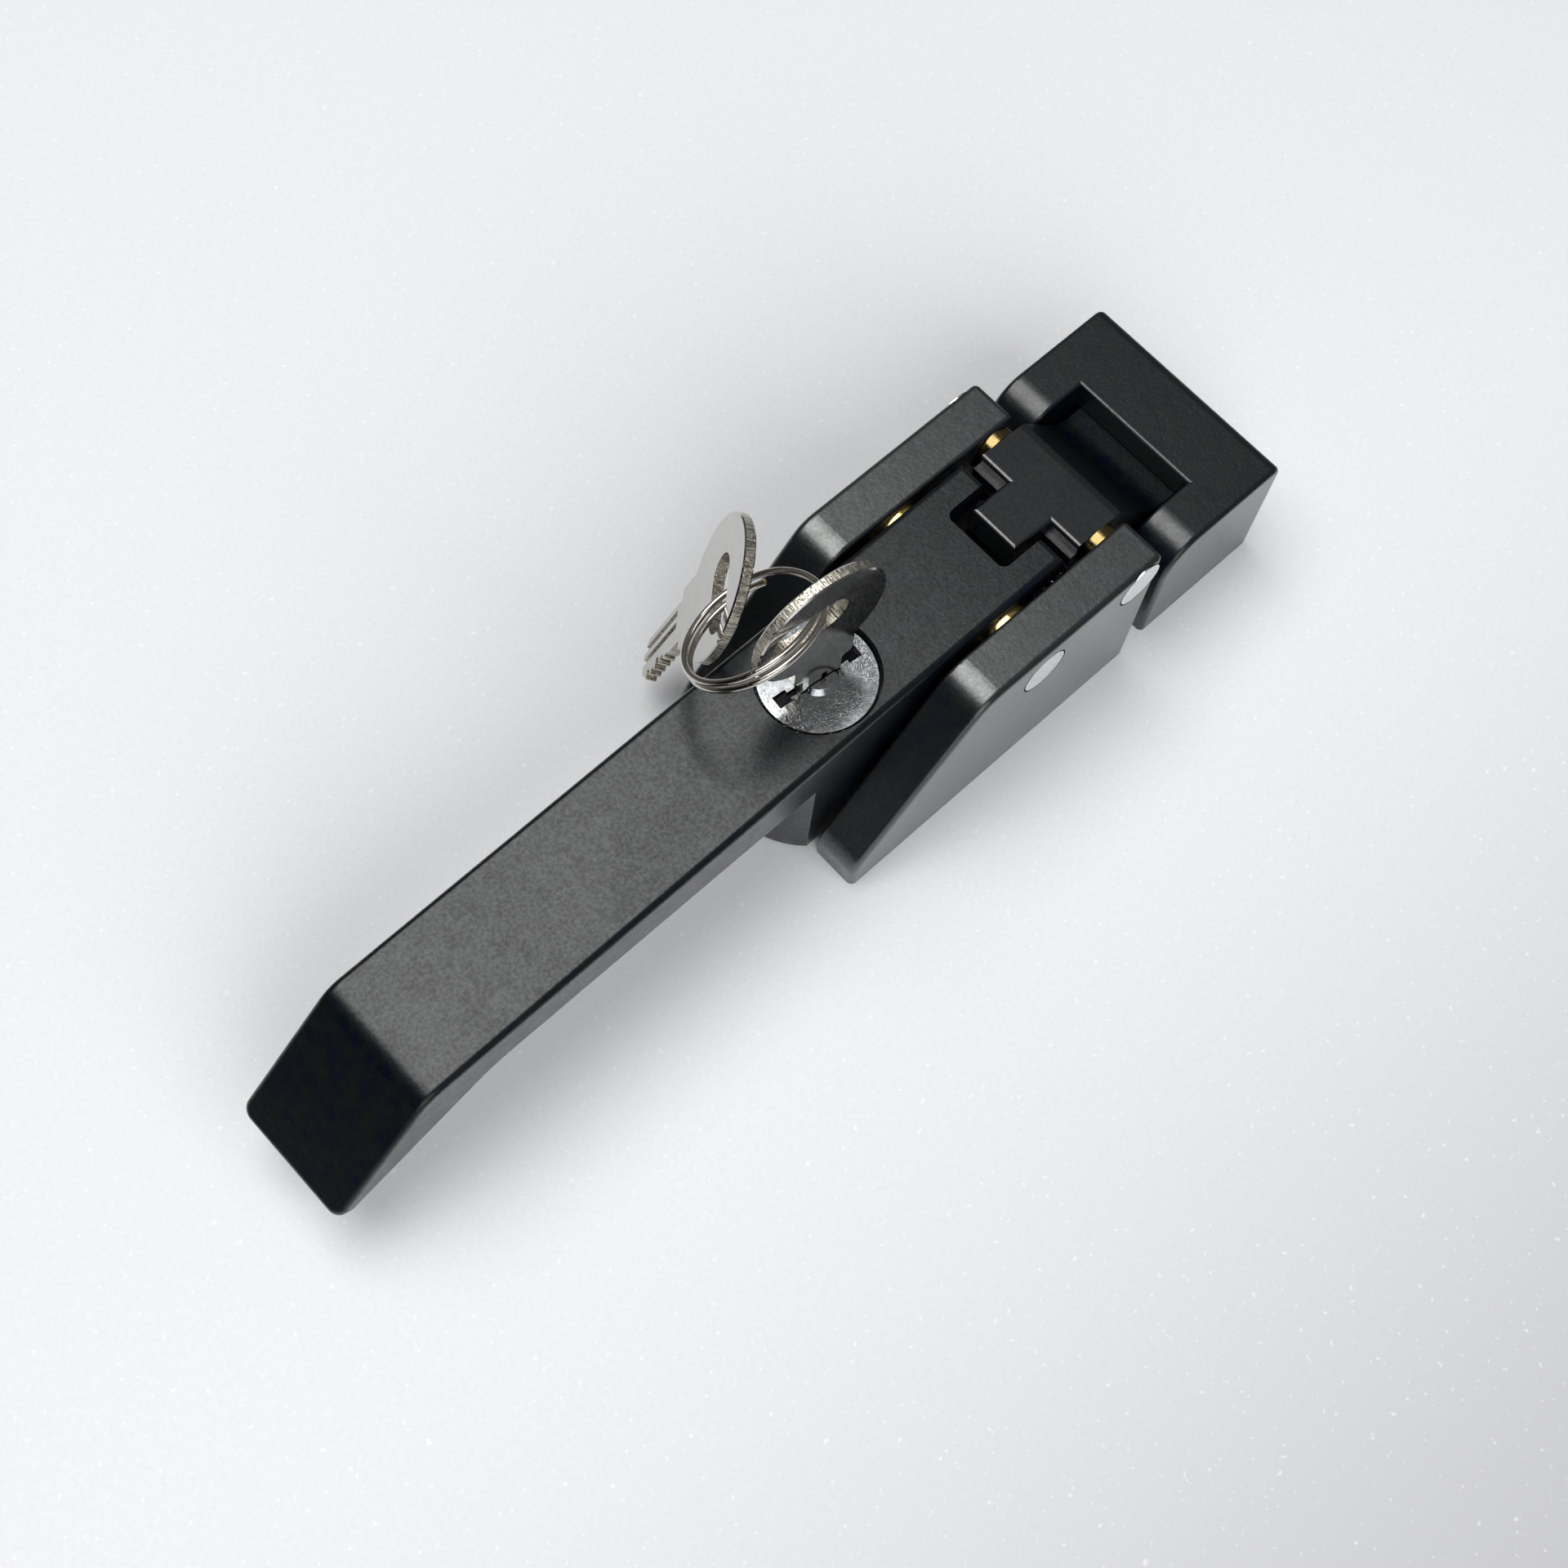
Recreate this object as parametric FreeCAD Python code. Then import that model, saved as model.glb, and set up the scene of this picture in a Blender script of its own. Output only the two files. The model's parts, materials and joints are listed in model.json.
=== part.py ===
import FreeCAD, Part
import math
import os

from FreeCAD import Matrix, Placement, Rotation, Vector

# Key-locking lever compression latch for a door leaf, with the keeper that it draws shut.
# The base carries a lever and a claw on two cross pins.  Millimetres, +Z off the mounting face,
# +X from the grip to the keeper, origin at the middle of the base's four screw holes.

# Base housing
base_length = 70.0
base_width = 46.0
base_height = 37.5
channel_width = 27.5
web_height = 11.0
web_length = 50.2
cheek_top_length = 42.7
cheek_tip_height = 7.2
cheek_tip_radius = 6.0
cheek_top_radius = 7.5
base_edge_radius = 1.2
inner_edge_radius = 0.8
base_screw_radius = 2.5
base_screw_depth = 14.0
screw_cover = 3.0
base_screw_spacing_x = 40.0

# Catch for the lock cam: a strap from cheek to cheek over the tail of the web
catch_height = 17.0
catch_length = 7.2
catch_slot_bottom = 8.6
catch_slot_height = 4.6

# Cross pins, their washers and the running fits
claw_pin_inset = 4.6
claw_pin_z = 32.4
lever_pin_inset = 27.7
lever_pin_z = 30.0
pin_radius = 3.0
pin_head_radius = 4.6
pin_head_height = 1.6
head_clearance = 0.15
pin_clearance = 0.05
bore_clearance = 0.05
claw_washer_radius = 4.2
lever_washer_radius = 6.0
washer_play = 0.1

# Keeper
keeper_gap = 5.2
keeper_length = 29.4
keeper_width = 45.0
keeper_height = 28.0
keeper_nose_radius = 7.3
keeper_back_radius = 2.5
keeper_corner_radius = 1.0
keeper_edge_radius = 0.7
pocket_length = 13.8
pocket_half_width = 13.35
pocket_floor = 3.0
ledge_height = 5.6
ledge_reach = 6.2
keeper_screw_inset = 5.5
keeper_screw_radius = 2.5
keeper_screw_depth = 10.0
keeper_screw_spacing = 30.0

# Claw, its lengths measured from its pin
claw_side_gap = 1.9
claw_stem_width = 10.6
claw_tail_back = 14.1
claw_shoulder_back = 5.1
claw_top = 37.3
claw_ridge_ahead = 5.5
claw_ridge_drop = 1.3
claw_slope_ahead = 17.6
claw_nose_length = 3.4
claw_nose_height = 5.2
nose_gap = 0.3
nose_radius = 1.0
stem_thickness = 6.3
knuckle_radius = 6.6
knuckle_top = 34.0
throat_ahead = 3.6
throat_z = 27.0
arm_width = 9.6
arm_root_radius = 5.3
arm_radius = 2.6
arm_back = 5.2
arm_drop = 11.2
heel_back = 5.4
heel_front = 0.6
heel_drop = 6.5
heel_inset = 0.6
claw_edge_radius = 0.8
claw_ridge_radius = 3.0
claw_slope_radius = 6.0

# Springs that throw the claw open
spring_radius = 2.1
spring_wire_radius = 0.35
spring_turns = 7
spring_spacing = 17.0
spring_back = 3.6
spring_seat_z = 3.0
spring_well_radius = 2.9
spring_gap = 0.3
spring_steps = 8

# Lever: grip, fork round the claw's stem and cam lobe on the hub, lengths measured from its pin
lever_side_gap = 1.325
lever_front_ahead = 13.6
lever_front_z = 38.76
lever_bend_back = 126.0
lever_bend_z = 35.16
lever_tip_back = 147.1
lever_tip_z = 14.1
lever_tip_thickness = 3.0
grip_depth = 10.4
grip_bend_back = 113.3
top_bend_radius = 7.0
under_bend_radius = 22.0
lever_edge_radius = 1.2
under_edge_radius = 1.4
tip_corner_radius = 2.5
hub_radius = 8.4
hub_front = 5.9
hub_meet_angle = 240.0
fork_root_ahead = 4.3
fork_slot_width = 14.1
fork_floor_z = 31.5
fork_corner_radius = 1.6
finger_depth = 5.6
lobe_width = 9.6
lobe_neck_radius = 5.0
lobe_reach = 12.7
lobe_drop = 6.0
lobe_radius = 2.5

# Lock housing under the lever
lock_back = 32.3
housing_tail_radius = 16.6
housing_bottom = 0.7
housing_front_gap = 0.5
housing_wall = 2.3
housing_floor_z = 15.0
housing_corner_radius = 0.7
cam_slot_clearance = 1.0
housing_root = 3.0

# Cylinder lock
face_radius = 10.7
face_gap = 0.3
face_drop = 0.9
face_thickness = 1.6
face_bevel = 0.4
flange_thickness = 1.2
cylinder_radius = 7.8
cylinder_bottom = 13.4
plug_radius = 6.2
dome_radius = 3.65
dome_top_radius = 2.74
dome_height = 0.7
keyway_angle = -6.0
keyway_play = 0.15
slot_length = 17.0
slot_width = 1.1
slot_depth = 0.7
notch_length = 2.6
notch_width = 2.4
notch_depth = 0.8
clip_radius = 8.9
clip_room = 0.3
clip_thickness = 1.0
clip_groove = 1.3
clip_play = 0.1
wafer_count = 5
wafer_spacing = 2.3
wafer_thickness = 0.8
wafer_width = 5.6
wafer_length = 11.0
wafer_ear_width = 1.8
wafer_ear_reach = 4.6
wafer_top_gap = 1.6
wafer_spring_radius = 0.55
wafer_spring_length = 3.4
wafer_spring_y = 3.9
wafer_play = 0.1
cam_length = 12.2
cam_width = 6.0
cam_thickness = 2.0
cam_hub_radius = 5.0
tail_square = 5.0
cam_play = 0.1
cam_screw_radius = 1.5
cam_screw_length = 6.0
cam_screw_head_radius = 2.9
cam_screw_head_height = 1.8
cross_length = 3.6
cross_width = 0.8
cross_depth = 0.9
cam_washer_radius = 4.2
cam_washer_thickness = 0.6

# Keys
key_thickness = 2.0
bow_width = 25.4
bow_height = 27.0
bow_offset = -1.5
bow_centre_height = 17.0
neck_width = 12.0
neck_height = 8.0
neck_corner_radius = 1.0
blade_width = 8.0
blade_length = 19.5
blade_point = 2.2
blade_point_radius = 0.5
blade_root = 1.0
key_stand = 5.0
key_slot_length = 14.5
key_slot_height = 7.6
key_slot_offset = -2.5
key_slot_rise = 2.7
bit_depths = (1.4, 0.7, 1.8, 1.1, 0.5)
bit_pitch = 2.4
groove_width = 1.2
groove_depth = 0.45
near_grooves = (0.6,)
far_grooves = (2.3, 0.0)
rim_bevel = 0.25

# Split ring and the spare key that hangs on it, placed from the lock face's centre
ring_radius = 12.5
ring_wire_radius = 0.6
ring_pitch = 1.68
ring_cross_angle = 70.0
ring_steps = 24
ring_back = 8.1
ring_across = 7.75
ring_rise = 16.9
ring_normal = Vector(-0.13, 0.64, 0.76)
spare_back = 3.4
spare_across = 20.4
spare_rise = 6.4
spare_normal = Vector(-0.636, 0.698, 0.329)
spare_up = Vector(0.231, -0.234, 0.944)

# Working values: how far a cutting tool passes the face that it opens, how near counts as the same
# place, and how far an edge may lie off a side profile's corners and still follow it
over = 1.0
hair = 1e-3
profile_slack = 1.75

# Derived places and sizes
base_front_x = base_length / 2
base_tail_x = -base_length / 2
web_tail_x = base_front_x - web_length
cheek_slant_x = base_front_x - cheek_top_length
claw_pin_x = base_front_x - claw_pin_inset
lever_pin_x = base_front_x - lever_pin_inset
claw_tail_x = claw_pin_x - claw_tail_back
claw_shoulder_x = claw_pin_x - claw_shoulder_back
claw_ridge_x = claw_pin_x + claw_ridge_ahead
claw_slope_x = claw_pin_x + claw_slope_ahead
throat_x = claw_pin_x + throat_ahead
lever_front_x = lever_pin_x + lever_front_ahead
fork_root_x = lever_pin_x + fork_root_ahead
grip_bend_x = lever_pin_x - grip_bend_back
lever_bend_x = lever_pin_x - lever_bend_back
lever_tip_x = lever_pin_x - lever_tip_back
lock_x = lever_pin_x - lock_back
base_side_y = base_width / 2
channel_side_y = channel_width / 2
cheek_centre_y = (base_side_y + channel_side_y) / 2
keeper_front_x = base_front_x + keeper_gap
keeper_back_x = keeper_front_x + keeper_length
pocket_back_x = keeper_front_x + pocket_length
ledge_bottom = keeper_height - ledge_height
undercut_x = pocket_back_x + ledge_reach
keeper_screw_x = keeper_back_x - keeper_screw_inset
lever_width = channel_width - 2 * lever_side_gap
lever_side_y = lever_width / 2
claw_width = channel_width - 2 * claw_side_gap
claw_side_y = claw_width / 2
lever_slope = (lever_front_z - lever_bend_z) / (lever_front_x - lever_bend_x)
grip_under_z = lever_bend_z - grip_depth + lever_slope * (grip_bend_x - lever_bend_x)
housing_front_x = web_tail_x - housing_front_gap
face_z = lever_front_z - lever_slope * (lever_front_x - lock_x) - face_drop
face_under_z = face_z - face_thickness
flange_bottom = face_under_z - flange_thickness
cam_top = catch_slot_bottom + (catch_slot_height + cam_thickness) / 2
cam_bottom = cam_top - cam_thickness
nose_top = ledge_bottom - nose_gap
nose_bottom = nose_top - claw_nose_height
nose_x = pocket_back_x + claw_nose_length
heel_z = claw_pin_z - heel_drop
ring_centre = Vector(lock_x - ring_back, ring_across, face_z + ring_rise)
spare_centre = Vector(lock_x - spare_back, spare_across, face_z + spare_rise)
clip_bottom = housing_floor_z - clip_thickness
keyway_width = blade_width + 2 * keyway_play
keyway_thickness = key_thickness + 2 * keyway_play


def box(x0, x1, y0, y1, z0, z1):
    return Part.makeBox(x1 - x0, y1 - y0, z1 - z0, Vector(x0, y0, z0))


def rod_y(x, z, radius, y0, y1):
    return Part.makeCylinder(radius, y1 - y0, Vector(x, y0, z), Vector(0, 1, 0))


def rod_z(x, y, radius, z0, z1):
    return Part.makeCylinder(radius, z1 - z0, Vector(x, y, z0))


def rounded_wire(corners):
    """A closed wire through (point, radius) corners, each rounded by its own radius."""
    ends = []
    count = len(corners)
    for i, (point, radius) in enumerate(corners):
        before = (corners[i - 1][0] - point).normalize()
        after = (corners[(i + 1) % count][0] - point).normalize()
        if radius <= 0:
            ends.append((point, None, point))
            continue
        half = before.getAngle(after) / 2
        cut = radius / math.tan(half)
        middle = (before + after).normalize() * (radius / math.sin(half) - radius)
        ends.append((point + before * cut, point + middle, point + after * cut))
    edges = []
    for i, (start, mid, end) in enumerate(ends):
        if mid is not None:
            edges.append(Part.Arc(start, mid, end).toShape())
        following = ends[(i + 1) % count][0]
        if end.distanceToPoint(following) > hair:
            edges.append(Part.makeLine(end, following))
    return Part.Wire(edges)


def prism_y(corners, y0, y1):
    """Side profile of (x, z, radius) corners, drawn out along Y."""
    wire = rounded_wire([(Vector(x, y0, z), radius) for x, z, radius in corners])
    return Part.Face(wire).extrude(Vector(0, y1 - y0, 0))


def prism_z(corners, z0, z1):
    """Plan of (x, y, radius) corners, drawn up along Z."""
    wire = rounded_wire([(Vector(x, y, z0), radius) for x, y, radius in corners])
    return Part.Face(wire).extrude(Vector(0, 0, z1 - z0))


def round_edges(shape, radius, chosen):
    edges = [edge for edge in shape.Edges if chosen(edge)]
    return shape.makeFillet(radius, edges)


def on_side(edge, side_y):
    """True for an edge that lies in one of the two upright planes at side_y."""
    return near(abs(edge.CenterOfMass.y), side_y) and edge.BoundBox.YLength < hair


def near(value, target):
    return abs(value - target) < hair


def hull_of_circles(x0, z0, r0, x1, z1, r1, y0, y1):
    """A tapered web between two parallel round bosses, with both bosses."""
    span = Vector(x1 - x0, 0, z1 - z0)
    turn = math.acos((r0 - r1) / span.Length)
    heading = math.atan2(span.z, span.x)
    corners = []
    for side in (turn, -turn):
        across = Vector(math.cos(heading + side), 0, math.sin(heading + side))
        corners.append((Vector(x0, y0, z0) + across * r0, Vector(x1, y0, z1) + across * r1))
    (a, b), (d, c) = corners
    web = Part.Face(Part.makePolygon([a, b, c, d, a])).extrude(Vector(0, y1 - y0, 0))
    return web.fuse([rod_y(x0, z0, r0, y0, y1), rod_y(x1, z1, r1, y0, y1)]).removeSplitter()


def biarc(p0, t0, p1, t1):
    """Two arcs that leave p0 along t0 and reach p1 along t1."""
    gap = p1 - p0
    both = t0 + t1
    bend = 2 * (1 - t0.dot(t1))
    lean = gap.dot(both)
    reach = (-lean + math.sqrt(lean * lean + bend * gap.dot(gap))) / bend
    q0 = p0 + t0 * reach
    q1 = p1 - t1 * reach
    joint = (q0 + q1) / 2
    arcs = []
    for start, knee, end in ((p0, q0, joint), (joint, q1, p1)):
        chord = end - start
        middle = (start + end) / 2
        rise = knee - middle
        half_turn = math.atan2(rise.Length, chord.Length / 2)
        sag = chord.Length / 2 * math.tan(half_turn / 2)
        arcs.append(Part.Arc(start, middle + rise.normalize() * sag, end).toShape())
    return arcs


def wound_tube(points, tangents, wire_radius):
    """One unbroken round wire along a curve given by points and unit tangents."""
    arcs = []
    for i in range(len(points) - 1):
        arcs += biarc(points[i], tangents[i], points[i + 1], tangents[i + 1])
    profile = Part.Wire([Part.makeCircle(wire_radius, points[0], tangents[0])])
    return Part.Wire(arcs).makePipeShell([profile], True, False)


def least_gap(points, per_turn, wire_radius):
    """Closest approach of the wire's surface to its own next turn."""
    least = None
    for i, a in enumerate(points):
        for b in points[i + per_turn * 3 // 4:]:
            gap = a.distanceToPoint(b) - 2 * wire_radius
            least = gap if least is None else min(least, gap)
    return least


def helix_points(foot, radius, height, turns, per_turn):
    points = []
    tangents = []
    climb = height / (2 * math.pi * turns)
    for i in range(turns * per_turn + 1):
        a = 2 * math.pi * i / per_turn
        points.append(foot + Vector(radius * math.cos(a), radius * math.sin(a), climb * a))
        tangents.append(Vector(-radius * math.sin(a), radius * math.cos(a), climb).normalize())
    return points, tangents


def pin(x, z):
    """Cross pin, riveted flush at both ends in the cheeks' counterbores."""
    head_y = base_side_y - pin_head_height
    shape = rod_y(x, z, pin_radius, -base_side_y, base_side_y)
    for y0, y1 in ((-base_side_y, -head_y), (head_y, base_side_y)):
        shape = shape.fuse(rod_y(x, z, pin_head_radius, y0, y1))
    return shape.removeSplitter()


def washer_pair(x, z, radius, piece_side_y):
    """Thrust washers between a swinging piece and the two cheeks."""
    inner = piece_side_y + washer_play / 2
    outer = channel_side_y - washer_play / 2
    washers = []
    for y0, y1 in ((-outer, -inner), (inner, outer)):
        ring = rod_y(x, z, radius, y0, y1)
        washers.append(ring.cut(rod_y(x, z, pin_radius + bore_clearance, y0, y1)))
    return washers


def make_base():
    side = [
        (base_front_x, 0, 0),
        (base_front_x, base_height, 0),
        (cheek_slant_x, base_height, cheek_top_radius),
        (base_tail_x, cheek_tip_height, cheek_tip_radius),
        (base_tail_x, 0, 0),
    ]
    shape = prism_y(side, -base_side_y, base_side_y)
    shape = round_edges(shape, base_edge_radius, lambda e: e.BoundBox.ZMax > hair
                        and (near(e.BoundBox.XMin, base_front_x) or on_side(e, base_side_y)))
    channel = box(base_tail_x - over, base_front_x + over, -channel_side_y, channel_side_y,
                  -over, base_height + over)
    shape = shape.cut(channel)
    shape = round_edges(shape, inner_edge_radius, lambda e: on_side(e, channel_side_y)
                        and e.BoundBox.ZMin > cheek_tip_height + cheek_tip_radius)
    web = box(web_tail_x, base_front_x - base_edge_radius, -channel_side_y, channel_side_y,
              0, web_height)
    slot = box(web_tail_x - over, web_tail_x + catch_length, -channel_side_y, channel_side_y,
               catch_slot_bottom, web_height + over)
    catch = box(web_tail_x, web_tail_x + catch_length, -channel_side_y, channel_side_y,
                catch_slot_bottom + catch_slot_height, catch_height)
    shape = shape.fuse([web.cut(slot), catch]).removeSplitter()
    cuts = []
    head_y = base_side_y - pin_head_height
    outside_y = base_side_y + over
    for x, z in ((claw_pin_x, claw_pin_z), (lever_pin_x, lever_pin_z)):
        head = pin_head_radius + head_clearance
        cuts.append(rod_y(x, z, pin_radius + pin_clearance, -outside_y, outside_y))
        cuts.append(rod_y(x, z, head, -outside_y, -head_y))
        cuts.append(rod_y(x, z, head, head_y, outside_y))
    for side_y in (-cheek_centre_y, cheek_centre_y):
        for x in (-base_screw_spacing_x / 2, base_screw_spacing_x / 2):
            depth = min(base_screw_depth, cheek_roof(x) - screw_cover)
            cuts.append(rod_z(x, side_y, base_screw_radius, -over, depth))
    for y in (-spring_spacing / 2, spring_spacing / 2):
        cuts.append(rod_z(claw_pin_x - spring_back, y, spring_well_radius,
                          spring_seat_z, web_height + over))
    return shape.cut(cuts)


def cheek_roof(x):
    """Height of the cheek's sloping back above the mounting face."""
    rise = (base_height - cheek_tip_height) / (cheek_slant_x - base_tail_x)
    return min(base_height, cheek_tip_height + rise * (x - base_tail_x))


def make_keeper():
    side = [
        (keeper_front_x, 0, 0),
        (keeper_front_x, keeper_height, keeper_nose_radius),
        (keeper_back_x, keeper_height, keeper_back_radius),
        (keeper_back_x, 0, 0),
    ]
    half = keeper_width / 2
    shape = prism_y(side, -half, half)
    shape = round_edges(shape, keeper_corner_radius,
                        lambda e: on_side(e, half) and e.BoundBox.ZMax > hair)
    pocket = box(keeper_front_x - over, pocket_back_x, -pocket_half_width, pocket_half_width,
                 pocket_floor, keeper_height + over)
    undercut = box(keeper_front_x - over, undercut_x, -pocket_half_width, pocket_half_width,
                   pocket_floor, ledge_bottom)
    shape = shape.cut([pocket, undercut])
    shape = round_edges(shape, keeper_edge_radius, lambda e: near(e.BoundBox.ZMin, keeper_height)
                        and near(e.BoundBox.ZMax, keeper_height)
                        and e.BoundBox.XMax < pocket_back_x + hair
                        and abs(e.CenterOfMass.y) < pocket_half_width + hair)
    holes = [rod_z(keeper_screw_x, y, keeper_screw_radius, -over, keeper_screw_depth)
             for y in (-keeper_screw_spacing / 2, keeper_screw_spacing / 2)]
    return shape.cut(holes)


def claw_top_at(x):
    """Height of the claw's gently sloping upper face."""
    return claw_top - claw_ridge_drop * (x - claw_tail_x) / (claw_ridge_x - claw_tail_x)


def make_claw():
    side = [
        (claw_shoulder_x, claw_top_at(claw_shoulder_x), 0),
        (claw_ridge_x, claw_top_at(claw_ridge_x), claw_ridge_radius),
        (claw_slope_x, nose_top, claw_slope_radius),
        (nose_x, nose_top, nose_radius),
        (nose_x, nose_bottom, nose_radius),
        (throat_x, throat_z, 0),
        (claw_pin_x, claw_pin_z, 0),
        (claw_shoulder_x, claw_pin_z, 0),
    ]
    shape = prism_y(side, -claw_side_y, claw_side_y)
    stem = prism_y([
        (claw_tail_x, claw_top_at(claw_tail_x), 0),
        (claw_pin_x, claw_top_at(claw_pin_x), 0),
        (claw_pin_x, claw_top - stem_thickness, 0),
        (claw_tail_x, claw_top - stem_thickness, 0),
    ], -claw_stem_width / 2, claw_stem_width / 2)
    shape = shape.fuse(stem).removeSplitter()
    shape = round_edges(shape, claw_edge_radius, lambda e: e.BoundBox.XMax < claw_shoulder_x + hair
                        and e.BoundBox.ZMin > claw_top_at(claw_shoulder_x) - hair)
    knuckle = rod_y(claw_pin_x, claw_pin_z, knuckle_radius, -claw_side_y, claw_side_y)
    heel = box(claw_pin_x - heel_back, claw_pin_x - heel_front, -claw_side_y + heel_inset,
               claw_side_y - heel_inset, heel_z, claw_pin_z)
    arm = hull_of_circles(claw_pin_x, claw_pin_z, arm_root_radius,
                          claw_pin_x - arm_back, claw_pin_z - arm_drop, arm_radius,
                          -arm_width / 2, arm_width / 2)
    room = box(0, base_length, -base_width, base_width, 0, knuckle_top)
    shape = shape.fuse([knuckle.fuse(arm).common(room), heel]).removeSplitter()
    return shape.cut(rod_y(claw_pin_x, claw_pin_z, pin_radius + bore_clearance, -base_width, base_width))


def make_springs():
    """Two compression springs between the web's wells and the claw's heel."""
    height = heel_z - spring_gap - spring_seat_z - 2 * spring_wire_radius
    springs = []
    for y in (-spring_spacing / 2, spring_spacing / 2):
        foot = Vector(claw_pin_x - spring_back, y, spring_seat_z + spring_wire_radius)
        points, tangents = helix_points(foot, spring_radius, height, spring_turns, spring_steps)
        springs.append(wound_tube(points, tangents, spring_wire_radius))
        gap = least_gap(points, spring_steps, spring_wire_radius)
        print("claw spring least gap", round(gap, 3))
    return Part.makeCompound(springs)


def runs_along(edge, path):
    """True for an edge whose ends and middle follow an (x, z) path, seen from the side."""
    line = Part.makePolygon([Vector(x, 0, z) for x, z in path])
    spots = [vertex.Point for vertex in edge.Vertexes] + [edge.CenterOfMass]
    return all(line.distToShape(Part.Vertex(spot.x, 0, spot.z))[0] < profile_slack for spot in spots)


def make_lever():
    slope = Vector(lever_tip_x - lever_bend_x, 0, lever_tip_z - lever_bend_z).normalize()
    under_x = lever_tip_x - slope.z * lever_tip_thickness
    under_z = lever_tip_z + slope.x * lever_tip_thickness
    finger_z = lever_front_z - finger_depth
    hub_front_x = lever_pin_x + hub_front
    meet = math.radians(hub_meet_angle)
    side = [
        (lever_front_x, lever_front_z, 0),
        (lever_bend_x, lever_bend_z, top_bend_radius),
        (lever_tip_x, lever_tip_z, 0),
        (under_x, under_z, 0),
        (grip_bend_x, grip_under_z, under_bend_radius),
        (housing_front_x, grip_under_z, 0),
        (lever_pin_x + hub_radius * math.cos(meet), lever_pin_z + hub_radius * math.sin(meet), 0),
        (hub_front_x, lever_pin_z, 0),
        (hub_front_x, finger_z, 0),
        (lever_front_x, finger_z, 0),
    ]
    shape = prism_y(side, -lever_side_y, lever_side_y)
    shape = round_edges(shape, tip_corner_radius, lambda e: e.BoundBox.XMax < under_x + hair
                        and e.BoundBox.YLength < hair)
    top = [(lever_front_x, lever_front_z), (lever_bend_x, lever_bend_z), (lever_tip_x, lever_tip_z)]
    under = [(under_x, under_z), (grip_bend_x, grip_under_z), (housing_front_x, grip_under_z)]
    shape = round_edges(shape, lever_edge_radius,
                        lambda e: runs_along(e, top) and not crosses_grip(e))
    shape = round_edges(shape, under_edge_radius, lambda e: runs_along(e, under)
                        and near(abs(e.CenterOfMass.y), lever_side_y)
                        and e.BoundBox.XMin > under_x + hair)
    hub = rod_y(lever_pin_x, lever_pin_z, hub_radius, -lever_side_y, lever_side_y)
    lower_hub = hub.common(box(-base_width, base_width, -base_width, base_width, 0, lever_pin_z))
    shape = shape.fuse([lower_hub, housing_block()])
    slot_y = fork_slot_width / 2
    above = base_height + hub_radius
    fork = prism_z([
        (fork_root_x, -slot_y, fork_corner_radius),
        (base_front_x, -slot_y, 0),
        (base_front_x, slot_y, 0),
        (fork_root_x, slot_y, fork_corner_radius),
    ], fork_floor_z, above)
    shape = shape.cut(fork)
    lobe = hull_of_circles(lever_pin_x, lever_pin_z, lobe_neck_radius,
                           lever_pin_x + lobe_reach, lever_pin_z - lobe_drop, lobe_radius,
                           -lobe_width / 2, lobe_width / 2)
    shape = shape.fuse(lobe).removeSplitter()
    sweep_y = cam_width / 2 + cam_slot_clearance
    cuts = [
        rod_y(lever_pin_x, lever_pin_z, pin_radius + bore_clearance, -base_width, base_width),
        rod_z(lock_x, 0, face_radius + face_gap, flange_bottom, above),
        rod_z(lock_x, 0, cylinder_radius + bore_clearance, housing_floor_z - over, base_height),
        housing_hollow(),
        rod_z(lock_x, 0, clip_radius + clip_room, clip_bottom - clip_room, housing_floor_z),
        box(lock_x - sweep_y, housing_front_x + over, -sweep_y, lever_side_y + over,
            cam_bottom - cam_slot_clearance, housing_floor_z),
    ]
    return shape.cut(cuts)


def crosses_grip(edge):
    """True for the lines across the grip where its flat faces meet the bend."""
    on_grip = lever_tip_x + tip_corner_radius < edge.CenterOfMass.x < fork_root_x
    return abs(edge.CenterOfMass.y) < hair and on_grip


def housing_plan(inset, z):
    """Plan of the lock housing: flat sides and front, round tail about the lock's axis."""
    side = lever_side_y - inset
    radius = housing_tail_radius - inset
    front = housing_front_x - inset
    corner = lock_x - math.sqrt(radius * radius - side * side)
    left = Vector(corner, side, z)
    right = Vector(corner, -side, z)
    tail = Part.Arc(left, Vector(lock_x - radius, 0, z), right).toShape()
    outline = Part.makePolygon([right, Vector(front, -side, z), Vector(front, side, z), left])
    return Part.Face(Part.Wire([tail] + outline.Edges))


def housing_block():
    height = grip_under_z + housing_root - housing_bottom
    block = housing_plan(0, housing_bottom).extrude(Vector(0, 0, height))
    return round_edges(block, housing_corner_radius, lambda e: near(e.BoundBox.ZMax, housing_bottom))


def housing_hollow():
    """Room below the lock for the retaining clip and the cam, open at the bottom."""
    foot = housing_bottom - over
    return housing_plan(housing_wall, foot).extrude(Vector(0, 0, housing_floor_z - foot))


def turned(shape):
    """Turn a shape to the keyway's angle and carry it to the lock's axis."""
    moved = shape.copy()
    moved.Placement = Placement(Vector(lock_x, 0, 0), Rotation(Vector(0, 0, 1), keyway_angle))
    return moved


def make_lock_body():
    shape = rod_z(lock_x, 0, cylinder_radius, cylinder_bottom, face_under_z)
    flange = rod_z(lock_x, 0, face_radius, flange_bottom, face_under_z)
    shape = shape.fuse(flange).removeSplitter()
    clip_top = clip_bottom + clip_thickness
    groove = rod_z(lock_x, 0, clip_radius, clip_bottom, clip_top)
    groove = groove.cut(rod_z(lock_x, 0, cylinder_radius - clip_groove, clip_bottom, clip_top))
    bore = rod_z(lock_x, 0, plug_radius + bore_clearance, cylinder_bottom - over, face_z)
    return shape.cut([groove, bore])


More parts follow.
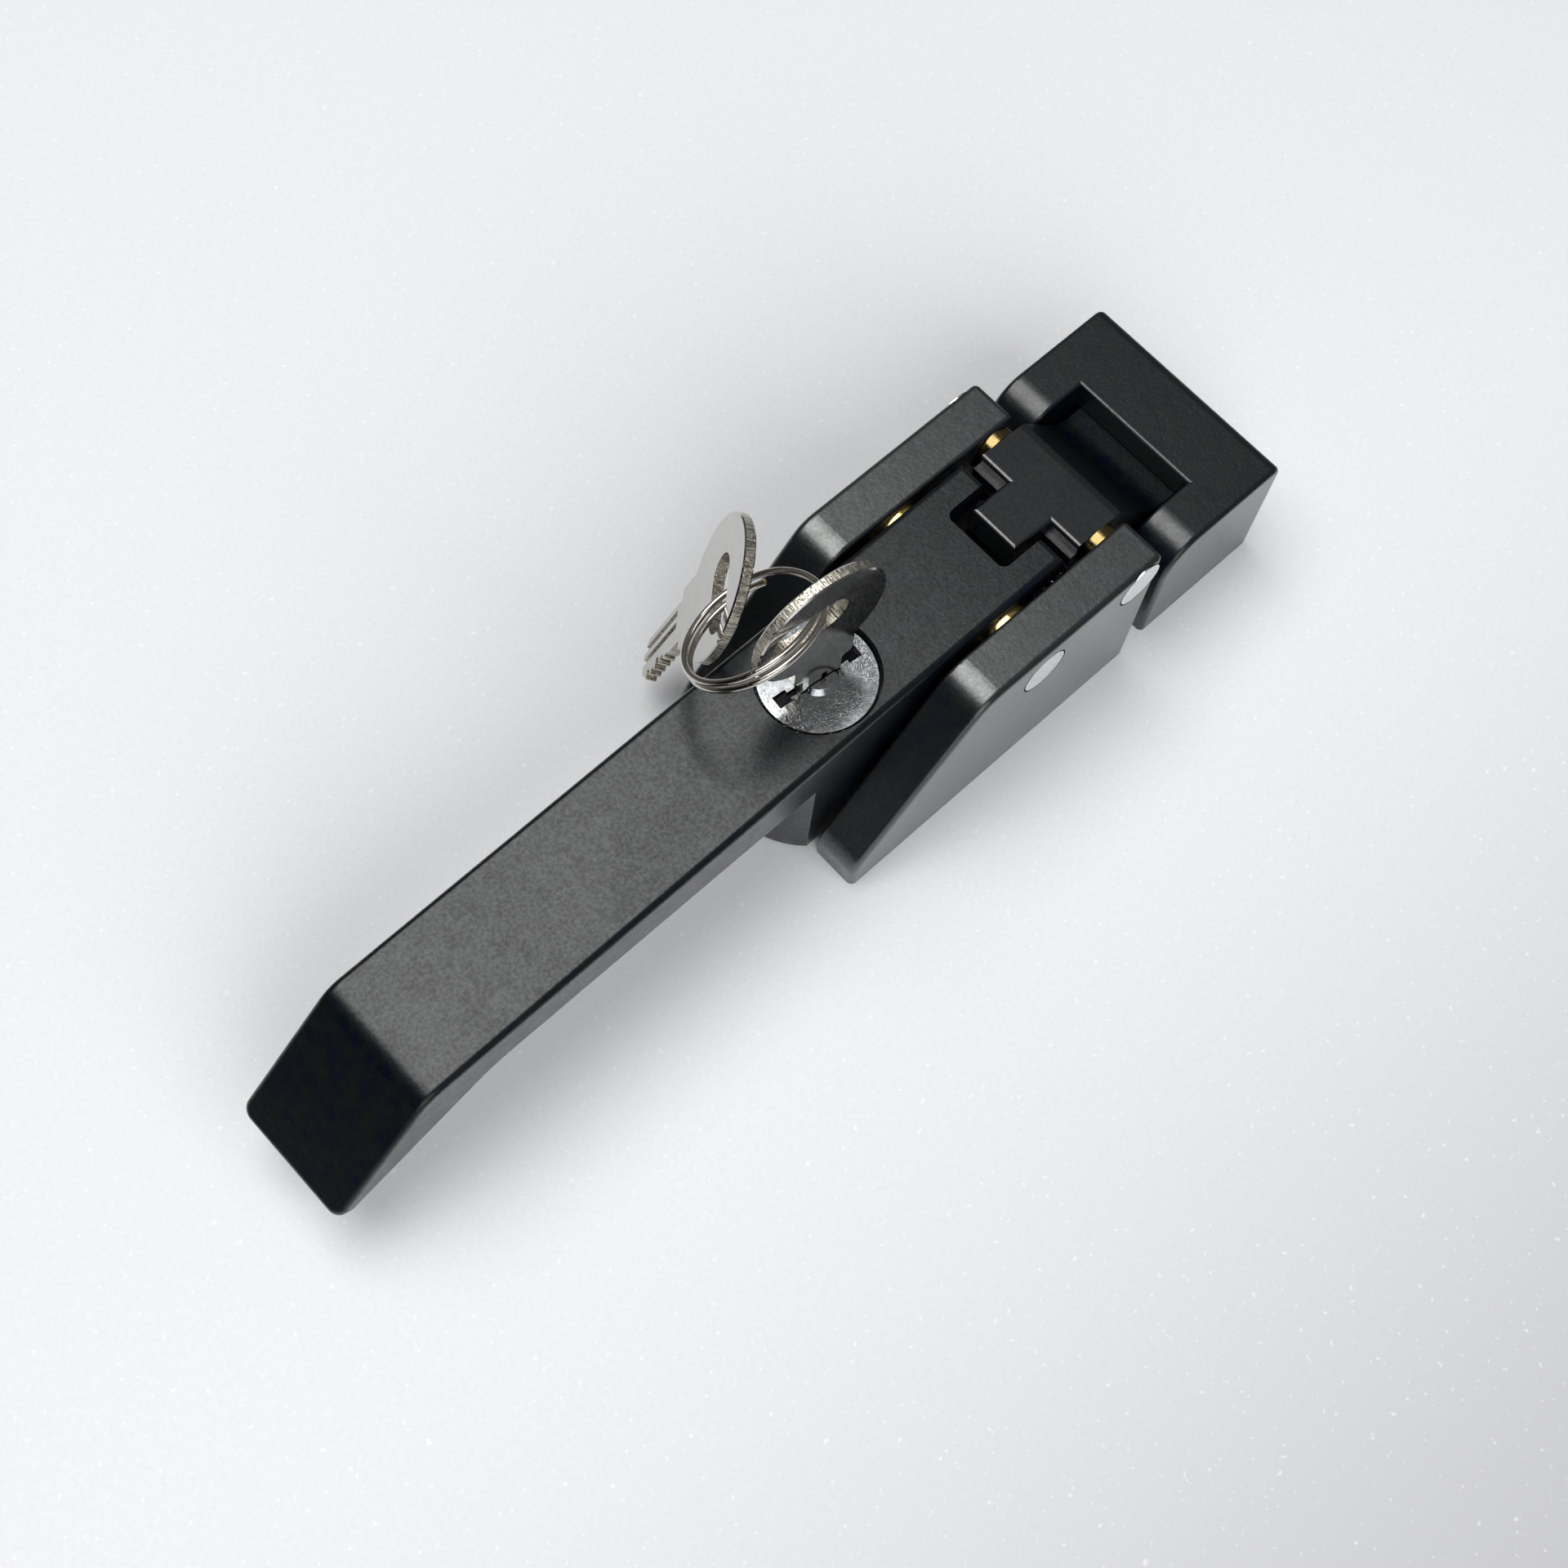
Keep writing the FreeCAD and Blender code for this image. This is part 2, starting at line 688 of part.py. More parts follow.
def make_clip():
    """Horseshoe clip in the cylinder's groove, under the housing's inner roof."""
    ring = rod_z(lock_x, 0, clip_radius - clip_play, clip_bottom + clip_play / 2,
                 housing_floor_z - clip_play / 2)
    inner = cylinder_radius - clip_groove + clip_play
    mouth = box(lock_x - clip_radius - over, lock_x, -inner, inner, clip_bottom, housing_floor_z)
    return ring.cut([rod_z(lock_x, 0, inner, clip_bottom, housing_floor_z), mouth])


def wafer_levels():
    top = face_under_z - wafer_top_gap
    return [top - wafer_thickness - i * wafer_spacing for i in range(wafer_count)]


def make_plug():
    disc = rod_z(0, 0, face_radius, face_under_z, face_z)
    disc = disc.makeChamfer(face_bevel, [e for e in disc.Edges if near(e.BoundBox.ZMin, face_z)])
    shank = rod_z(0, 0, plug_radius, cam_top + cam_play, face_under_z)
    dome = Part.makeCone(dome_radius, dome_top_radius, dome_height, Vector(0, 0, face_z))
    half = tail_square / 2
    square = box(-half, half, -half, half, cam_bottom + cam_play, cam_top + cam_play)
    shape = disc.fuse([shank, dome, square]).removeSplitter()
    above = face_z + dome_height + over
    blade_tip_z = face_z + key_stand - blade_length
    cuts = [
        box(-keyway_width / 2, keyway_width / 2, -keyway_thickness / 2, keyway_thickness / 2,
            blade_tip_z - over, above),
        box(-slot_length / 2, slot_length / 2, -slot_width / 2, slot_width / 2,
            face_z - slot_depth, above),
        rod_z(0, 0, cam_screw_radius + pin_clearance, cam_bottom, cam_bottom + cam_screw_length),
    ]
    inner_x = slot_length / 2 - notch_length
    outer_x = slot_length / 2
    for x0, x1 in ((-outer_x, -inner_x), (inner_x, outer_x)):
        cuts.append(box(x0, x1, -notch_width / 2, notch_width / 2, face_z - notch_depth, above))
    play = wafer_play / 2
    half_x = wafer_length / 2 + play
    half_y = wafer_width / 2 + play
    half_ear = wafer_ear_width / 2 + play
    for z in wafer_levels():
        floor = z - play
        roof = z + wafer_thickness + play
        cuts.append(box(-half_x, half_x, -half_y, half_y, floor, roof))
        cuts.append(box(-half_ear, half_ear, 0, wafer_ear_reach + wafer_play, floor, roof))
        cuts.append(wafer_spring_at(z, wafer_spring_radius + play, 0))
    return turned(shape.cut(cuts))


def make_wafers():
    """Spring-loaded plates with a window each, that the key's blade passes through."""
    wafers = []
    half_x = wafer_length / 2
    half_y = wafer_width / 2
    half_ear = wafer_ear_width / 2
    for z in wafer_levels():
        roof = z + wafer_thickness
        plate = box(-half_x, half_x, -half_y, half_y, z, roof)
        window = box(-keyway_width / 2, keyway_width / 2, -keyway_thickness / 2,
                     keyway_thickness / 2, z - over, roof + over)
        ear = box(-half_ear, half_ear, half_y, wafer_ear_reach, z, roof)
        wafers.append(turned(plate.cut(window).fuse(ear).removeSplitter()))
    return Part.makeCompound(wafers)


def wafer_spring_at(z, radius, start):
    """Round bar of spring room beside a wafer, from the ear outward."""
    foot = Vector(start, wafer_spring_y, z + wafer_thickness / 2)
    length = wafer_ear_width / 2 + wafer_spring_length - start
    return Part.makeCylinder(radius, length, foot, Vector(1, 0, 0))


def make_wafer_springs():
    start = wafer_ear_width / 2 + wafer_play / 2
    springs = [turned(wafer_spring_at(z, wafer_spring_radius, start)) for z in wafer_levels()]
    return Part.makeCompound(springs)


def make_cam():
    """Flat cam on the plug's square tail, stowed towards the far cheek while unlocked."""
    end_y = cam_length - cam_width / 2
    arm = box(-cam_width / 2, cam_width / 2, 0, end_y, cam_bottom, cam_top)
    end = rod_z(0, end_y, cam_width / 2, cam_bottom, cam_top)
    hub = rod_z(0, 0, cam_hub_radius, cam_bottom, cam_top)
    plate = hub.fuse([arm, end]).removeSplitter()
    plate.translate(Vector(lock_x, 0, 0))
    half = (tail_square + cam_play) / 2
    return plate.cut(turned(box(-half, half, -half, half, cam_bottom - over, cam_top + over)))


def make_cam_washer():
    foot = cam_bottom - cam_washer_thickness
    ring = rod_z(lock_x, 0, cam_washer_radius, foot, cam_bottom)
    return ring.cut(rod_z(lock_x, 0, cam_screw_radius + pin_clearance, foot, cam_bottom))


def make_cam_screw():
    top = cam_bottom - cam_washer_thickness
    bottom = top - cam_screw_head_height
    head = rod_z(lock_x, 0, cam_screw_head_radius, bottom, top)
    shank = rod_z(lock_x, 0, cam_screw_radius, top, cam_bottom + cam_screw_length - cam_play)
    screw = head.fuse(shank).removeSplitter()
    for half_x, half_y in ((cross_length / 2, cross_width / 2), (cross_width / 2, cross_length / 2)):
        screw = screw.cut(box(lock_x - half_x, lock_x + half_x, -half_y, half_y,
                              bottom, bottom + cross_depth))
    return screw


def make_key():
    """Flat key in its own frame: blade down -Z from the shoulder at z = 0, plate across Y."""
    half_y = key_thickness / 2
    bow = Part.Ellipse(Vector(0, 0, 0), bow_height / 2, bow_width / 2).toShape()
    bow = Part.Face(Part.Wire([bow])).extrude(Vector(0, 0, key_thickness))
    bow.Placement = Placement(Vector(bow_offset, half_y, bow_centre_height),
                              Rotation(Vector(1, 0, 0), 90))
    bow.rotate(Vector(bow_offset, 0, bow_centre_height), Vector(0, 1, 0), 90)
    bow = bow.makeChamfer(rim_bevel, [e for e in bow.Edges if e.BoundBox.YLength < hair])
    neck_x = neck_width / 2
    neck = prism_y([
        (-neck_x, 0, neck_corner_radius),
        (-neck_x, neck_height, 0),
        (neck_x, neck_height, 0),
        (neck_x, 0, neck_corner_radius),
    ], -half_y, half_y)
    half = blade_width / 2
    point_z = blade_point - blade_length
    blade = prism_y([
        (-half, blade_root, 0),
        (-half, point_z, 0),
        (-blade_point, -blade_length, blade_point_radius),
        (blade_point, -blade_length, blade_point_radius),
        (half, point_z, 0),
        (half, blade_root, 0),
    ], -half_y, half_y)
    cuts = []
    flat = bit_pitch / 4
    mouth = bit_pitch / 2
    for i, depth in enumerate(bit_depths):
        z = point_z + mouth + i * bit_pitch
        cuts.append(prism_y([
            (depth - half, z + flat, 0),
            (depth - half, z - flat, 0),
            (-half - over, z - mouth, 0),
            (-half - over, z + mouth, 0),
        ], -half_y - over, half_y + over))
    for x in near_grooves:
        cuts.append(groove(x, -half_y, groove_depth - half_y))
    for x in far_grooves:
        cuts.append(groove(x, half_y - groove_depth, half_y))
    blade = blade.cut(cuts)
    slot_z = bow_centre_height + key_slot_rise
    slot_x = bow_offset + key_slot_offset
    rise = key_slot_height / 2
    reach = key_slot_length / 2 - rise
    slot = box(slot_x - reach, slot_x + reach, -half_y - over, half_y + over,
               slot_z - rise, slot_z + rise)
    ends = [rod_y(slot_x + x, slot_z, rise, -half_y - over, half_y + over) for x in (-reach, reach)]
    return bow.fuse([neck, blade]).removeSplitter().cut(slot.fuse(ends))


def groove(x, y0, y1):
    """Cutter for one of the grooves that run down a key's blade."""
    half = groove_width / 2
    return box(x - half, x + half, y0, y1, -blade_length - over, -blade_point)


def frame_at(origin, x_dir, y_dir, z_dir):
    """Placement whose local axes point along the three given directions."""
    matrix = Matrix(x_dir.x, y_dir.x, z_dir.x, origin.x,
                    x_dir.y, y_dir.y, z_dir.y, origin.y,
                    x_dir.z, y_dir.z, z_dir.z, origin.z, 0, 0, 0, 1)
    return Placement(matrix)


def make_spare_key():
    key = make_key()
    normal = Vector(spare_normal).normalize()
    up = (spare_up - normal * spare_up.dot(normal)).normalize()
    across = normal.cross(up)
    foot = spare_centre - up * bow_centre_height - across * bow_offset
    key.Placement = frame_at(foot, across, normal, up)
    return key


def make_ring():
    """Split ring: two flat turns of wire with one crossing between them."""
    normal = Vector(ring_normal).normalize()
    side = normal.cross(Vector(0, 0, 1)).normalize()
    rise = normal.cross(side)
    cross = math.radians(ring_cross_angle)
    start = cross / 2
    sweep = 4 * math.pi - cross
    count = int(round(sweep / (2 * math.pi) * ring_steps))
    points = []
    tangents = []
    for i in range(count + 1):
        a = start + sweep * i / count
        part = min(1, max(0, (a - 2 * math.pi + cross / 2) / cross))
        lift = ring_pitch * (part * part * (3 - 2 * part) - 1 / 2)
        climb = ring_pitch * 6 * part * (1 - part) / cross
        outward = side * math.cos(a) + rise * math.sin(a)
        forward = rise * math.cos(a) - side * math.sin(a)
        points.append(ring_centre + outward * ring_radius + normal * lift)
        tangents.append((forward * ring_radius + normal * climb).normalize())
    gap = least_gap(points, ring_steps, ring_wire_radius)
    print("split ring least gap", round(gap, 3))
    return wound_tube(points, tangents, ring_wire_radius)


claw_washers = washer_pair(claw_pin_x, claw_pin_z, claw_washer_radius, claw_side_y)
lever_washers = washer_pair(lever_pin_x, lever_pin_z, lever_washer_radius, lever_side_y)
lock_key = turned(make_key())
lock_key.translate(Vector(0, 0, face_z + key_stand))

nodes = {
    "base_housing": make_base(),
    "claw_pivot_pin": pin(claw_pin_x, claw_pin_z),
    "lever_pivot_pin": pin(lever_pin_x, lever_pin_z),
    "claw_washer_near": claw_washers[0],
    "claw_washer_far": claw_washers[1],
    "lever_washer_near": lever_washers[0],
    "lever_washer_far": lever_washers[1],
    "claw_springs": make_springs(),
    "keeper_housing": make_keeper(),
    "claw": make_claw(),
    "lever_handle": make_lever(),
    "lock_body": make_lock_body(),
    "lock_retaining_clip": make_clip(),
    "lock_plug": make_plug(),
    "lock_wafers": make_wafers(),
    "wafer_springs": make_wafer_springs(),
    "lock_cam": make_cam(),
    "cam_washer": make_cam_washer(),
    "cam_screw": make_cam_screw(),
    "key_in_lock": lock_key,
    "split_ring": make_ring(),
    "spare_key": make_spare_key(),
}

os.makedirs("parts", exist_ok=True)
for name, shape in nodes.items():
    shape.exportStep("parts/" + name + ".step")
    print(name, "solids", len(shape.Solids), "valid", shape.isValid(), round(shape.Volume, 2))
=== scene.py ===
import json
import math

import bmesh
import bpy
from mathutils import Matrix, Vector


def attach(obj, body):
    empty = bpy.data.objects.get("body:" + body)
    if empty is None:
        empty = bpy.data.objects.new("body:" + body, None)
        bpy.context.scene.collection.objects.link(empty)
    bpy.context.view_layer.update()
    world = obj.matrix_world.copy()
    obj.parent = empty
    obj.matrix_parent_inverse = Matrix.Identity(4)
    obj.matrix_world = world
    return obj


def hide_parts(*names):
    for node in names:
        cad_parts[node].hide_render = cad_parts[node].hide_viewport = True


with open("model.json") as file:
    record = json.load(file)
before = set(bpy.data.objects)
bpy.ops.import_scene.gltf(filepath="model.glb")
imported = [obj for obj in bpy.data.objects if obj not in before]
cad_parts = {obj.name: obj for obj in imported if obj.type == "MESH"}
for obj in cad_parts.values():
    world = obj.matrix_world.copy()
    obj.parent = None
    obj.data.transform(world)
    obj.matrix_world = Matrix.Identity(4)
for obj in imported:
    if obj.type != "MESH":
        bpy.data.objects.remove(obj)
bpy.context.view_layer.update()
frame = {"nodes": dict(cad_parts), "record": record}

mm = 0.001
nodes = frame["nodes"]
print("frame loaded:", len(nodes), "nodes")


class Signal:  # one socket, so that shader maths reads as an expression
    def __init__(self, paint, socket):
        self.paint = paint
        self.socket = socket

    def join(self, operation, a, b):
        return self.paint.add("ShaderNodeMath", {"operation": operation}, {0: a, 1: b})

    def __add__(self, other):
        return self.join("ADD", self, other)

    __radd__ = __add__

    def __sub__(self, other):
        return self.join("SUBTRACT", self, other)

    def __rsub__(self, other):
        return self.join("SUBTRACT", other, self)

    def __mul__(self, other):
        return self.join("MULTIPLY", self, other)

    __rmul__ = __mul__

    def __pow__(self, other):
        return self.join("POWER", self, other)


class Paint:  # one material and the nodes in it
    def __init__(self, name, world=None):
        self.holder = world or bpy.data.materials.new(name)
        self.holder.use_nodes = True
        self.tree = self.holder.node_tree
        self.tree.nodes.clear()

    def add(self, kind, settings=None, values=None, out=0):
        node = self.tree.nodes.new(kind)
        for key, value in (settings or {}).items():
            setattr(node, key, value)
        for key, value in (values or {}).items():
            if isinstance(value, Signal):
                self.tree.links.new(value.socket, node.inputs[key])
            else:
                node.inputs[key].default_value = value
        return Signal(self, node.outputs[out])

    def place(self):  # object coordinates in metres
        return self.add("ShaderNodeTexCoord", out="Object")

    def parts(self, vector):
        split = self.add("ShaderNodeSeparateXYZ", None, {"Vector": vector}).socket.node
        return [Signal(self, split.outputs[i]) for i in range(3)]

    def noise(self, vector, size, detail=2.0, rough=0.5):  # size is one lump's width in millimetres
        values = {"Vector": vector, "Scale": 1 / (size * mm), "Detail": detail, "Roughness": rough}
        return self.add("ShaderNodeTexNoise", {"noise_dimensions": "3D"}, values, out="Fac")

    def fit(self, signal, low, high, toLow=0.0, toHigh=1.0, smooth=False):
        settings = {"interpolation_type": "SMOOTHSTEP" if smooth else "LINEAR", "clamp": True}
        return self.add("ShaderNodeMapRange", settings, {"Value": signal, "From Min": low, "From Max": high,
                                                         "To Min": toLow, "To Max": toHigh})

    def blendColor(self, factor, a, b):
        ends = [end if isinstance(end, Signal) else (*end, 1) for end in (a, b)]
        return self.add("ShaderNodeMix", {"data_type": "RGBA"}, {0: factor, 6: ends[0], 7: ends[1]}, out=2)

    def bump(self, height, depth, under=None):  # depth in millimetres
        values = {"Height": height, "Strength": 1.0, "Distance": depth * mm}
        if under:
            values["Normal"] = under
        return self.add("ShaderNodeBump", None, values)

    def output(self, kind, shader):
        node = self.tree.nodes.new(kind)
        self.tree.links.new(shader.socket, node.inputs["Surface"])
        return self.holder

    def finish(self, values):
        return self.output("ShaderNodeOutputMaterial", self.add("ShaderNodeBsdfPrincipled", None, values))


def dimmed(shade, share):
    return tuple(c * share for c in shade)


def middleOf(node):  # centre of a CAD node, and half its size
    corners = [Vector(corner) for corner in nodes[node].bound_box]
    low, high = (Vector([pick(c[i] for c in corners) for i in range(3)]) for pick in (min, max))
    return (low + high) / 2, (high - low) / 2


print("camera")
camera = {
    "place": (-0.15215, -0.10147, 0.37913),
    "right": (0.73140, -0.67980, 0.05404),
    "forward": (0.29615, 0.24525, -0.92312),
    "lens": 52.396,
    "sensor": 36.0,
    "clip": (0.01, 20.0),
}


def makeCamera():
    lens = bpy.data.cameras.new("camera")
    lens.lens = camera["lens"]
    lens.sensor_width = camera["sensor"]
    lens.clip_start, lens.clip_end = camera["clip"]
    eye = bpy.data.objects.new("camera", lens)
    right = Vector(camera["right"]).normalized()
    back = -Vector(camera["forward"])
    back = (back - right * back.dot(right)).normalized()
    up = back.cross(right)
    turn = Matrix((right, up, back)).transposed().to_4x4()
    eye.matrix_world = Matrix.Translation(camera["place"]) @ turn
    bpy.context.scene.collection.objects.link(eye)
    bpy.context.scene.camera = eye


makeCamera()
bpy.context.scene.view_settings.view_transform = "Standard"


print("light")
light = {
    # aim from the object, distance and size in metres, radiance, and whether gloss shows the box
    "boxes": {
        "mainSoftbox": {"aim": (-0.11, 0.27, 0.95), "away": 1.1, "wide": 0.92, "deep": 0.70, "radiance": 5.0,
                        "glossy": True},
        "fillSoftbox": {"aim": (-0.15, -0.75, 0.62), "away": 1.3, "wide": 1.5, "deep": 1.1, "radiance": 2.6,
                        "glossy": False},
    },
    "lampTint": (1.0, 0.99, 0.97),
    "roomTint": (0.97, 0.985, 1.0),
    "ceiling": 0.20,
    "horizon": 0.12,
    "darkSide": 0.004,
    "lowBand": (-0.9, 0.1),  # along x, where the low room brightens
    "highBand": (-0.3, 0.35),  # the same overhead
    "riseBand": (0.30, 0.90),  # from the low room up to the ceiling
    "window": 1.5,  # brighter patch behind the camera
    "windowAim": (-0.54, -0.73, 0.43),  # towards where the lock face's near chamfer looks
    "windowBand": (0.86, 0.97),
    "backdrop": 0.72,
    "middle": (-0.03, 0.0, 0.03),
}


def makeLights():
    for name, box in light["boxes"].items():
        lamp = bpy.data.lights.new(name, "AREA")
        lamp.shape = "RECTANGLE"
        lamp.size = box["wide"]
        lamp.size_y = box["deep"]
        lamp.energy = box["radiance"] * math.pi * box["wide"] * box["deep"]
        lamp.color = light["lampTint"]
        holder = bpy.data.objects.new(name, lamp)
        away = Vector(box["aim"]).normalized()
        holder.location = Vector(light["middle"]) + away * box["away"]
        holder.visible_glossy = box["glossy"]
        holder.rotation_mode = "QUATERNION"
        holder.rotation_quaternion = away.to_track_quat("Z", "Y")
        bpy.context.scene.collection.objects.link(holder)


def makeWorld():  # dim room: pale ceiling, darker towards the grip's end
    world = bpy.data.worlds.new("studio")
    bpy.context.scene.world = world
    room = Paint("studio", world)
    x, y, z = room.parts(room.add("ShaderNodeTexCoord", out="Generated"))
    low = room.fit(x, *light["lowBand"], light["darkSide"], light["horizon"], smooth=True)
    overhead = room.fit(x, *light["highBand"], light["darkSide"], light["ceiling"], smooth=True)
    height = room.fit(z, *light["riseBand"], smooth=True)
    aim = light["windowAim"]
    behind = room.fit(x * aim[0] + y * aim[1] + z * aim[2], *light["windowBand"], smooth=True)
    glow = low + height * (overhead - low) + behind * light["window"]
    seen = room.add("ShaderNodeLightPath", out="Is Camera Ray")
    strength = glow * (1 - seen) + seen * light["backdrop"]
    shade = room.add("ShaderNodeBackground", None, {"Color": (*light["roomTint"], 1), "Strength": strength})
    room.output("ShaderNodeOutputWorld", shade)


makeLights()
makeWorld()


print("paper floor")
paper = {
    "size": 3.0,
    "drop": 0.0001,
    "shade": (0.74, 0.752, 0.775),
    "paintedShadeTone": (0.40, 0.405, 0.43),
    "shadeFade": (-0.02, -0.26),  # metres along y: painted shade, the paper darker towards the near side
    "fibreShade": (0.4, 0.4, 0.42),
    "fibreSize": 0.9,
    "fibreBand": (0.3, 0.7),
    "fibreShare": 0.08,
    "fibreDepth": 0.03,
    "fleckShade": (0.95, 0.95, 0.97),
    "fleckSize": 1.3,
    "fleckBand": (0.66, 0.74),
    "fleckShare": 0.35,
    "reflectedShadeShare": 0.12,  # painted shade in reflections: how much of the shade is left far out, as the gloss on the object sees it
    "reflectedShadeReach": (0.12, 0.21),
    "rough": 0.85,
    "specular": 0.2,
}


def paperCoat():
    coat = Paint("paper")
    at = coat.place()
    x, y, z = coat.parts(at)
    fibre = coat.noise(at, paper["fibreSize"], 3.0)
    fibres = coat.fit(fibre, *paper["fibreBand"], 0.0, paper["fibreShare"])
    flecks = coat.fit(coat.noise(at, paper["fleckSize"], 2.0), *paper["fleckBand"], 0.0, paper["fleckShare"])
    outward = ((x - light["middle"][0]) ** 2 + y ** 2) ** 0.5
    # painted shade: beyond this reach the paper is darker only as glossy rays see it, so the object reflects
    # a darker surround
    gloss = coat.add("ShaderNodeLightPath", out="Is Glossy Ray")
    reflectedShade = coat.fit(outward, *paper["reflectedShadeReach"], smooth=True) * gloss
    # painted shade: the paper's tone darkens along y towards the near side, standing in for the light
    # falling off
    tone = coat.blendColor(coat.fit(y, *paper["shadeFade"], smooth=True), paper["shade"], paper["paintedShadeTone"])
    tone = coat.blendColor(fibres, tone, paper["fibreShade"])
    tone = coat.blendColor(flecks, tone, paper["fleckShade"])
    tone = coat.blendColor(reflectedShade, tone, dimmed(paper["shade"], paper["reflectedShadeShare"]))
    return coat.finish({"Base Color": tone, "Roughness": paper["rough"],
                        "Specular IOR Level": paper["specular"],
                        "Normal": coat.bump(fibre, paper["fibreDepth"])})


def makeFloor():
    mesh = bpy.data.meshes.new("paper")
    shape = bmesh.new()
    bmesh.ops.create_grid(shape, x_segments=1, y_segments=1, size=paper["size"] / 2)
    bmesh.ops.translate(shape, verts=shape.verts, vec=(0, 0, -paper["drop"]))
    shape.to_mesh(mesh)
    shape.free()
    floor = bpy.data.objects.new("paper", mesh)
    bpy.context.scene.collection.objects.link(floor)
    mesh.materials.append(paperCoat())


makeFloor()


print("finishes")
coatSet = {
    # painted light: the same black enamel in four copies whose base and gloss IOR differ, so each part
    # reflects lighter or darker to stand in for how the light falls on it
    "leverCoat": {"rough": 0.36, "base": 1.30, "top": 0.27, "gloss": 1.43, "grain": 0.66},
    "baseCoat": {"rough": 0.36, "base": 1.60, "top": 0.28, "gloss": 1.86, "grain": 0.52},
    "keeperCoat": {"rough": 0.36, "base": 1.38, "top": 0.29, "gloss": 1.52, "grain": 0.46},
    "clawCoat": {"rough": 0.36, "base": 1.25, "top": 0.28, "gloss": 1.90, "grain": 0.40},
    "shade": (0.0004, 0.0020, 0.0056),
    "dust": (0.0034, 0.0038, 0.0036),
    "dustBand": (0.40, 0.66),
    "tint": (0.92, 1.0, 0.98),
    "roughBand": (0.3, 0.7),
    "roughSpread": (-0.02, 0.03),
    "grainSize": 0.62,  # sizes and depths in millimetres
    "grainDepth": 0.06,
    "mottleSize": 2.6,
    "mottleDepth": 0.10,
    "cloudSize": 17.0,
    "wearBand": (0.36, 0.64),  # of grain and mottle
    "cloudBand": (0.38, 0.62),
    "wearShares": (0.60, 0.24, 0.16),  # of grain, mottle and cloud
    "sideBand": (0.8, 0.1),  # in from a flat side, where the smoother skin begins and is full
    "sideWear": (0.25, 0.30),
    "noseShadeBack": (17.0, 11.0),  # back from the claw's nose, where its gloss is taken off as painted shade under the keeper's ledge
    "noseShadeGloss": 0.05,
    "jointWidth": 0.28,
    "jointBlur": 0.1,
    "jointRough": 0.9,
}


def blackCoat(name, pins=(), smoothSides=None, nose=None):  # satin enamel on a casting: peel, cloudy gloss
    settings = coatSet[name]
    coat = Paint(name)
    at = coat.place()
    x, y, z = coat.parts(at)
    grain = coat.noise(at, coatSet["grainSize"], 2.0, 0.6)
    mottle = coat.noise(at, coatSet["mottleSize"], 3.0, 0.6)
    cloud = coat.noise(at, coatSet["cloudSize"], 2.0, 0.5)
    grainShare, mottleShare, cloudShare = coatSet["wearShares"]
    worn = (coat.fit(grain, *coatSet["wearBand"]) * grainShare
            + coat.fit(mottle, *coatSet["wearBand"]) * mottleShare
            + coat.fit(cloud, *coatSet["cloudBand"]) * cloudShare)
    shade = coat.blendColor(coat.fit(mottle, *coatSet["dustBand"]), coatSet["shade"], coatSet["dust"])
    spread = [settings["rough"] + step for step in coatSet["roughSpread"]]
    rough = coat.fit(mottle, *coatSet["roughBand"], *spread)
    if smoothSides:  # the flat sides came off the mould smoother
        middle, half = middleOf(smoothSides)
        side = coat.add("ShaderNodeMath", {"operation": "ABSOLUTE"}, {0: y - middle.y})
        flat = coat.fit(side, *[half.y - inset * mm for inset in coatSet["sideBand"]])
        kept, least = coatSet["sideWear"]
        worn = worn * (1 - flat) + flat * (worn * kept + least)
    gloss = 1.0 - worn * settings["grain"]
    # painted shade: the claw's gloss fades out towards the nose tip, where the keeper's ledge shades it
    if nose:
        middle, half = middleOf(nose)
        tip = middle.x + half.x
        shadeFade = [tip - back * mm for back in coatSet["noseShadeBack"]]
        gloss = gloss * coat.fit(x, *shadeFade, 1.0, coatSet["noseShadeGloss"], smooth=True)
    for pin in pins:  # thin dark joint round a pin's end
        middle, half = middleOf(pin)
        out = ((x - middle.x) ** 2 + (z - middle.z) ** 2) ** 0.5
        width = coatSet["jointWidth"]
        joint = coat.fit(out, half.z + width * mm, half.z + (width + coatSet["jointBlur"]) * mm)
        gloss = gloss * joint
        rough = coat.fit(joint, 0.0, 1.0, coatSet["jointRough"], rough)
    peel = coat.bump(grain, coatSet["grainDepth"], coat.bump(mottle, coatSet["mottleDepth"]))
    return coat.finish({"Base Color": shade, "Roughness": rough, "IOR": settings["base"],
                        "Specular Tint": (*coatSet["tint"], 1), "Coat Weight": gloss,
                        "Coat Roughness": settings["top"], "Coat IOR": settings["gloss"], "Normal": peel})


